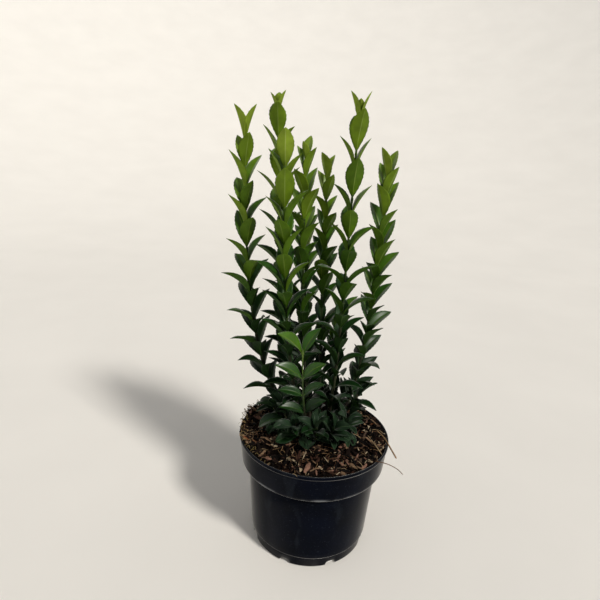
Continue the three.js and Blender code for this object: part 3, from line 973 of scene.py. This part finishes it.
def stem_piece(shoot, own, leaves, materials):
    """A stem with the buds in its leaf axils and at its tip."""
    parts = MeshParts()
    pair_heights = sorted({round(float(leaf["root"][2]), 3) for leaf in leaves})
    points, faces = stem_skin(shoot, pair_heights, own)
    low = shoot["low"]

    def tone(face):
        if low:
            return LOW_STEM_TONE
        share = share_at_height(shoot, np.mean([points[corner][2] for corner in face]))
        return sum(bool(share <= limit) for limit in STEM_TONE_LIMITS)

    parts.add(points, faces, [tone(face) for face in faces])
    for leaf in leaves:
        axis, side, back = leaf["frame"]
        outward = spoke(side, back, leaf["turn"])
        share = share_at_height(shoot, leaf["root"][2])
        radius = lerp(STEM_RADIUS, STEM_TIP_RADIUS, share)
        root = leaf["root"] + outward * radius * BUD_SUNK + axis * BUD_ABOVE
        lean = unit(axis + outward * BUD_LEAN)
        green = share > GREEN_BUDS_ABOVE and not low
        parts.add(*bud_skin(root, lean, outward, BUD_LENGTH, BUD_RADIUS), 0 if green else 1)
    axis, side, _ = stem_frame(shoot, 1)
    root = stem_points(shoot, 1)[0] - axis * STEM_POINT
    tip = bud_skin(root, axis, side, TIP_BUD_LENGTH, TIP_BUD_RADIUS)
    parts.add(*tip, LOW_STEM_TONE if low else 0)
    replaced = [] if low else [f"stem_{shoot['name']}"]
    return parts.build(f"twig_{shoot['name']}", materials, replaced)


def make_plant():
    leaf_materials = [leaf_material(tone, kind) for tone in LEAF_TONES for kind in KINDS]
    stem_materials = [
        stem_material("stem_tip_green", (86, 112, 30), (62, 86, 22), 0.5),
        stem_material("stem_green", (50, 70, 24), (32, 48, 16), 0.55),
        stem_material("stem_olive", (48, 52, 26), (28, 32, 17), 0.7),
        stem_material("stem_bark", (60, 52, 38), (31, 26, 19), 0.85),
    ]
    for own, shoot in enumerate(SHOOTS):
        leaves = grow_leaves(shoot, own)
        foliage_piece(shoot, leaves, leaf_materials)
        stem_piece(shoot, own, leaves, stem_materials)


# Pot and mulch


def rounded(corners, steps=4):
    """A section through corners of (radius, height, rounding), each rounded by an even curve."""
    points = []
    last = len(corners) - 1
    for index, (radius, height, rounding) in enumerate(corners):
        here = rows(radius, height)
        if index in (0, last) or rounding == 0:
            points.append(here)
            continue
        before = rows(*corners[index - 1][:2]) - here
        after = rows(*corners[index + 1][:2]) - here
        start = here + unit(before) * min(rounding, np.linalg.norm(before) * 0.45)
        end = here + unit(after) * min(rounding, np.linalg.norm(after) * 0.45)
        for step in range(steps + 1):
            share = step / steps
            points.append(start * (1 - share) ** 2 + here * 2 * share * (1 - share) + end * share ** 2)
    return points


def subdivided(points, longest):
    """The same section with its long stretches cut shorter."""
    result = [points[0]]
    for start, end in zip(points, points[1:]):
        pieces = max(1, ceil(np.linalg.norm(end - start) / longest))
        result.extend(start + (end - start) * step / pieces for step in range(1, pieces + 1))
    return result


def revolve(section, sides, shape):
    """Turns a section into a closed skin whose points a function shapes."""
    points = [rows(0, 0, section[0][1])]
    for radius, height in section[1:-1]:
        for turn in circle(sides):
            points.append(shape(polar(radius, turn, height), turn))
    points.append(rows(0, 0, section[-1][1]))
    return np.array(points), tube_faces(len(section) - 2, sides)


def pot_section():
    ring_share = RING_HEIGHT / BAND_FOOT
    ring_radius = lerp(BODY_FOOT_RADIUS, BODY_TOP_RADIUS, ring_share)
    corners = [
        (0, 0, 0),
        (BODY_FOOT_RADIUS - 1.2, 0, 0.5),
        (BODY_FOOT_RADIUS, 1.4, 0.8),
        (ring_radius, RING_HEIGHT - RING_STEP, 0.5),
        (ring_radius + RING_STEP, RING_HEIGHT, 0.8),
        (BODY_TOP_RADIUS, BAND_FOOT - 0.2, 0.8),
        (BAND_FOOT_RADIUS - 0.6, BAND_FOOT + 0.2, 0.8),
        (BAND_FOOT_RADIUS + 0.3, BAND_FOOT + 2.4, 1.0),
        (RIM_RADIUS - 0.9, POT_HEIGHT - 4.4, 1.0),
        (RIM_RADIUS, POT_HEIGHT - 3.4, 0.6),
        (RIM_RADIUS, POT_HEIGHT - 0.7, 0.7),
        (RIM_RADIUS - 0.8, POT_HEIGHT, 0.5),
        (RIM_RADIUS - WALL, POT_HEIGHT - 0.7, 0.6),
        (BAND_FOOT_RADIUS - WALL, BAND_FOOT + WALL, 1.0),
        (BODY_TOP_RADIUS - WALL, BAND_FOOT, 0.8),
        (BODY_FOOT_RADIUS - WALL, FLOOR_HEIGHT, 2.0),
        (0, FLOOR_HEIGHT, 0),
    ]
    return subdivided(rounded(corners), LONGEST_STRETCH)


def notched(point, turn):
    """Presses drain notches into the pot's bottom edge and gives its wall a slight wobble."""
    radius = hypot(point[0], point[1])
    spacing = 2 * pi / NOTCHES
    offset = (turn % spacing) - spacing / 2
    near = abs(offset) * radius / (NOTCH_WIDTH / 2)
    inward = 0.0
    at_edge = point[2] < NOTCH_HEIGHT and radius > BODY_FOOT_RADIUS - NOTCH_REACH
    if near < NOTCH_END and at_edge:
        side = min(1.0, (NOTCH_END - near) / NOTCH_SOFTNESS)
        inward = NOTCH_DEPTH * side
        point[2] += (NOTCH_HEIGHT - point[2]) * side * NOTCH_LIFT
    wobble = 0.0
    if point[2] > WOBBLE_FROM:
        wobble = 0.16 * sin(2 * turn + 0.6) + 0.1 * sin(5 * turn + point[2] * 0.03)
    scale = (radius - inward + wobble) / radius
    return rows(point[0] * scale, point[1] * scale, point[2])


def make_pot():
    parts = MeshParts()
    parts.add(*revolve(pot_section(), POT_SIDES, notched), 0)
    return parts.build("nursery_pot", [pot_material()], ["pot"])


def mulch_height(x, y):
    """Flat round the stems, a little lower at the rim and heaped over it at one side."""
    edge = RIM_RADIUS - WALL
    radius = hypot(x, y)
    slope = max(0.0, radius - MULCH_FLAT_RADIUS) / (edge - MULCH_FLAT_RADIUS)
    height = lerp(MULCH_HEIGHT, MULCH_SHOWN_EDGE, slope ** 2)
    return height + HEAP_HEIGHT * heaped(x, y) * min(1.0, slope ** 3)


def heaped(x, y):
    """How near a place is to the side where the mulch covers the rim, from 0 to 1."""
    away = (degrees(atan2(y, x)) - HEAP_DIRECTION + 180) % 360 - 180
    return exp(-((away / HEAP_SPREAD) ** 2))


def clumps(x, y):
    """Uneven heaps in the mulch, coarse and fine."""
    coarse = sin(0.21 * x + 0.12 * y + 2) + sin(0.27 * y - 0.17 * x)
    fine = sin(0.9 * x + 0.5 * y + 1) * sin(0.8 * y - 0.6 * x)
    return 0.8 * coarse + 0.9 * fine


def make_mulch_bed():
    edge = RIM_RADIUS - WALL - BED_EDGE_GAP
    floor = FLOOR_HEIGHT + BED_FLOOR_GAP
    shoulder = BAND_FOOT + WALL + 1
    section = [
        rows(0, floor),
        rows(BODY_FOOT_RADIUS - WALL - BED_GAP, floor),
        rows(BODY_TOP_RADIUS - WALL - BED_GAP, shoulder),
        rows(BAND_FOOT_RADIUS - WALL - BED_GAP, shoulder),
        rows(edge - BED_EDGE_ROUNDING, MULCH_EDGE_HEIGHT - BED_SUNK),
    ]
    for ring in range(MULCH_RINGS):
        section.append(rows(edge * (1 - ring / MULCH_RINGS), MULCH_EDGE_HEIGHT))
    section.append(rows(0, MULCH_HEIGHT - BED_SUNK))

    def bumpy(point, turn):
        if point[2] == MULCH_EDGE_HEIGHT:
            point[2] = mulch_height(point[0], point[1]) + clumps(point[0], point[1]) - BED_SUNK
        return point

    parts = MeshParts()
    parts.add(*revolve(section, MULCH_SIDES, bumpy), 0)
    return parts.build("mulch_bed", [soil_material()], ["mulch"])


def directions(yaw, pitch, roll):
    """A turned piece's own directions: along, across and up."""
    turn = Matrix.Rotation(yaw, 3, "Z") @ Matrix.Rotation(pitch, 3, "Y")
    return np.array(turn @ Matrix.Rotation(roll, 3, "X")).T


def chip_skin(draws, centre, length, width, thickness, axes):
    """A torn piece of bark: an uneven bar with splintered ends."""
    along, across, up = axes
    corners = [draws.uniform(*CHIP_CORNERS) for _ in range(CHIP_SIDES)]
    points = [centre - along * length * 0.5]
    bend = draws.uniform(-CHIP_BEND, CHIP_BEND) * length
    for share, size in CHIP_RINGS:
        middle = centre + along * length * (share - 0.5) + up * bend * share * (1 - share)
        size *= draws.uniform(*CHIP_SWELLING)
        for corner, turn in zip(corners, circle(CHIP_SIDES)):
            points.append(
                middle
                + across * width / 2 * size * corner * cos(turn)
                + up * thickness / 2 * size * corner * sin(turn)
                + along * draws.uniform(-CHIP_SPLINTERS, CHIP_SPLINTERS) * length
            )
    points.append(centre + along * length * 0.5)
    return np.array(points), tube_faces(len(CHIP_RINGS), CHIP_SIDES)


def make_chips():
    """Bark chips strewn over the bed, flat on the whole, in the mulch's mixed browns."""
    draws = random.Random(CHIP_SEED)
    parts = MeshParts()
    names, _, weights = zip(*CHIP_COLOURS)

    def lay(x, y, lift, yaw, tilt, roll, length, width, tone):
        z = mulch_height(x, y) + clumps(x, y) + lift
        axes = directions(yaw, radians(tilt), radians(roll))
        thickness = max(THINNEST_CHIP, width * draws.uniform(*CHIP_FLATNESS))
        parts.add(*chip_skin(draws, rows(x, y, z), length, width, thickness, axes), tone)

    for _ in range(CHIPS):
        length = min(LONGEST_CHIP, CHIP_LENGTH * draws.lognormvariate(*CHIP_LENGTH_SPREAD))
        width = min(WIDEST_CHIP, length * draws.uniform(*CHIP_SLIMNESS))
        turn = draws.uniform(0, 2 * pi)
        over = CHIPS_OVER_RIM * heaped(cos(turn), sin(turn))
        edge = RIM_RADIUS - WALL - CHIP_EDGE_GAP + over
        radius = (edge - CHIP_INSET) * sqrt(draws.random())
        pull = min(1, (edge - length * CHIP_REACH) / radius)
        lay(
            *polar(radius * pull, turn), draws.uniform(*CHIP_LIFT), draws.uniform(0, 2 * pi),
            draws.gauss(0, CHIP_TILT), draws.gauss(0, CHIP_ROLL),
            length, width, draws.choices(range(len(weights)), weights)[0],
        )
    for start, end, width, name in NOTABLE_CHIPS:
        x, y = (rows(*start) + rows(*end)) / 2
        span = rows(*end) - rows(*start)
        yaw = atan2(span[1], span[0])
        roll = draws.gauss(0, NOTABLE_CHIP_ROLL)
        length = np.linalg.norm(span)
        lay(x, y, NOTABLE_CHIP_LIFT, yaw, 0, roll, length, width, names.index(name))
    materials = [chip_material(name, tone) for name, tone, _ in CHIP_COLOURS]
    return parts.build("mulch_chips", materials, smooth=False)


def strand(path, radius, sides=4):
    """A thin fibre along a path of points, pointed at both ends."""
    points = [path[0]]
    count = len(path)
    for index in range(1, count - 1):
        axis = unit(path[index + 1] - path[index - 1])
        side = unit(np.cross(axis, rows(*NO_FIBRE_WAY)))
        back = np.cross(axis, side)
        for turn in circle(sides):
            points.append(path[index] + spoke(side, back, turn) * radius)
    points.append(path[-1])
    return np.array(points), tube_faces(count - 2, sides)


def smoothed(points, steps=6):
    """More points along an even curve through the given ones."""
    points = [rows(*point) for point in points]
    longer = [2 * points[0] - points[1], *points, 2 * points[-1] - points[-2]]
    path = []
    for before, start, end, after in zip(longer, longer[1:], longer[2:], longer[3:]):
        slope = end - before
        bow = 2 * before - 5 * start + 4 * end - after
        sway = 3 * start - before - 3 * end + after
        for step in range(steps):
            share = step / steps
            path.append(start + slope * share / 2 + bow * share ** 2 / 2 + sway * share ** 3 / 2)
    return [*path, points[-1]]


def fibre_path(draws, place, length, hump):
    """A bowed fibre over a place on the mulch."""
    yaw = draws.uniform(0, 2 * pi)
    heading = polar(1, yaw)
    bow = rows(-heading[1], heading[0]) * draws.uniform(-FIBRE_BOW, FIBRE_BOW) * length
    path = []
    for step in range(FIBRE_POINTS):
        share = step / (FIBRE_POINTS - 1)
        along = place + heading * length * (share - 0.5) + bow * share * (1 - share)
        height = mulch_height(*along) + FIBRE_LIFT + hump * 4 * share * (1 - share)
        path.append(rows(*along, height))
    return path


def make_fibres():
    """Wood fibres among the chips, fuzz on the heaped side and straws over the rim."""
    draws = random.Random(FIBRE_SEED)
    parts = MeshParts()

    def lay(place, length, humps, radii, tones):
        path = fibre_path(draws, place, length, draws.uniform(*humps))
        parts.add(*strand(path, draws.uniform(*radii)), draws.choice(tones))

    for _ in range(FIBRES):
        length = draws.uniform(*FIBRE_LENGTH)
        edge = RIM_RADIUS - WALL - FIBRE_EDGE_GAP
        radius = min(edge - length / 2, edge * sqrt(draws.random()))
        turn = draws.uniform(0, 2 * pi)
        lay(polar(radius, turn), length, FIBRE_HUMP, FIBRE_RADIUS, FIBRE_TONES)
    for _ in range(FUZZ):
        turn = radians(draws.gauss(HEAP_DIRECTION, HEAP_SPREAD * FUZZ_SPREAD))
        radius = draws.uniform(RIM_RADIUS - FUZZ_INSIDE, RIM_RADIUS + FUZZ_OUTSIDE)
        length = draws.uniform(*FUZZ_LENGTH)
        lay(polar(radius, turn), length, FUZZ_HUMP, FUZZ_RADIUS, FUZZ_TONES)
    for radius, tone, path in STRAWS:
        parts.add(*strand(smoothed(path), radius, STRAW_SIDES), tone)
    materials = [chip_material(f"fibre_{name}", tone) for name, tone in FIBRE_COLOURS]
    return parts.build("mulch_fibres", materials)


# Stage


def make_camera():
    camera = link(bpy.data.objects.new("camera", bpy.data.cameras.new("camera")))
    camera.data.lens = CAMERA_LENS
    camera.data.sensor_width = CAMERA_SENSOR
    camera.data.clip_start = CAMERA_NEAREST
    camera.matrix_world = (
        Matrix.Translation(CAMERA_PLACE)
        @ Matrix.Rotation(pi / 2 + CAMERA_PITCH, 4, "X")
        @ Matrix.Rotation(CAMERA_ROLL, 4, "Z")
    )
    bpy.context.scene.camera = camera


def sun(name, place, strength, softness, tint):
    """A distant soft light that shines from a place towards the origin."""
    light = bpy.data.lights.new(name, "SUN")
    light.energy = strength
    light.angle = radians(softness)
    light.color = tint
    lamp = link(bpy.data.objects.new(name, light))
    lamp.location = place
    lamp.rotation_euler = Vector(place).to_track_quat("Z", "Y").to_euler()


def make_lights():
    sun("key_light", (0.8, -0.8, 1.05), 2.35, 10.0, (1.0, 0.96, 0.9))
    sun("fill_light", (-0.9, -0.9, 0.8), 0.12, 40.0, (0.92, 0.96, 1.0))
    world = bpy.data.worlds.new("studio")
    world.use_nodes = True
    world.node_tree.nodes["Background"].inputs["Color"].default_value = (0.9, 0.93, 1.0, 1)
    world.node_tree.nodes["Background"].inputs["Strength"].default_value = 0.22
    bpy.context.scene.world = world
    bpy.context.scene.view_settings.view_transform = "Standard"


def make_floor():
    """A pale floor that sweeps up far behind the plant on all sides."""
    section = [rows(0, 0), rows(FLOOR_RADIUS, 0)]
    for ring in range(1, FLOOR_RINGS + 1):
        share = ring / FLOOR_RINGS
        section.append(rows(FLOOR_RADIUS + FLOOR_SWEEP * share, FLOOR_SWEEP_HEIGHT * share ** 2))
    points = [rows(0, 0, 0)]
    for radius, height in section[1:]:
        for turn in circle(FLOOR_SIDES):
            points.append(polar(radius, turn, height))
    faces = tube_faces(len(section) - 1, FLOOR_SIDES)[:-FLOOR_SIDES]
    faces = [face[::-1] for face in faces]
    mesh = bpy.data.meshes.new("floor")
    mesh.from_pydata((np.array(points) * MM).tolist(), [], faces)
    mesh.polygons.foreach_set("use_smooth", [True] * len(faces))
    nodes = Nodes("floor_pale", 0.85, Specular_IOR_Level=0.2)
    stops = [(0.3, colour(243, 240, 234)), (0.7, colour(247, 244, 238))]
    nodes.paint(Base_Color=nodes.ramp(nodes.noise(4.0), stops))
    mesh.materials.append(nodes.material)
    floor = link(bpy.data.objects.new("floor", mesh))


make_camera()
make_lights()
make_floor()
make_pot()
make_mulch_bed()
make_chips()
make_fibres()
make_plant()
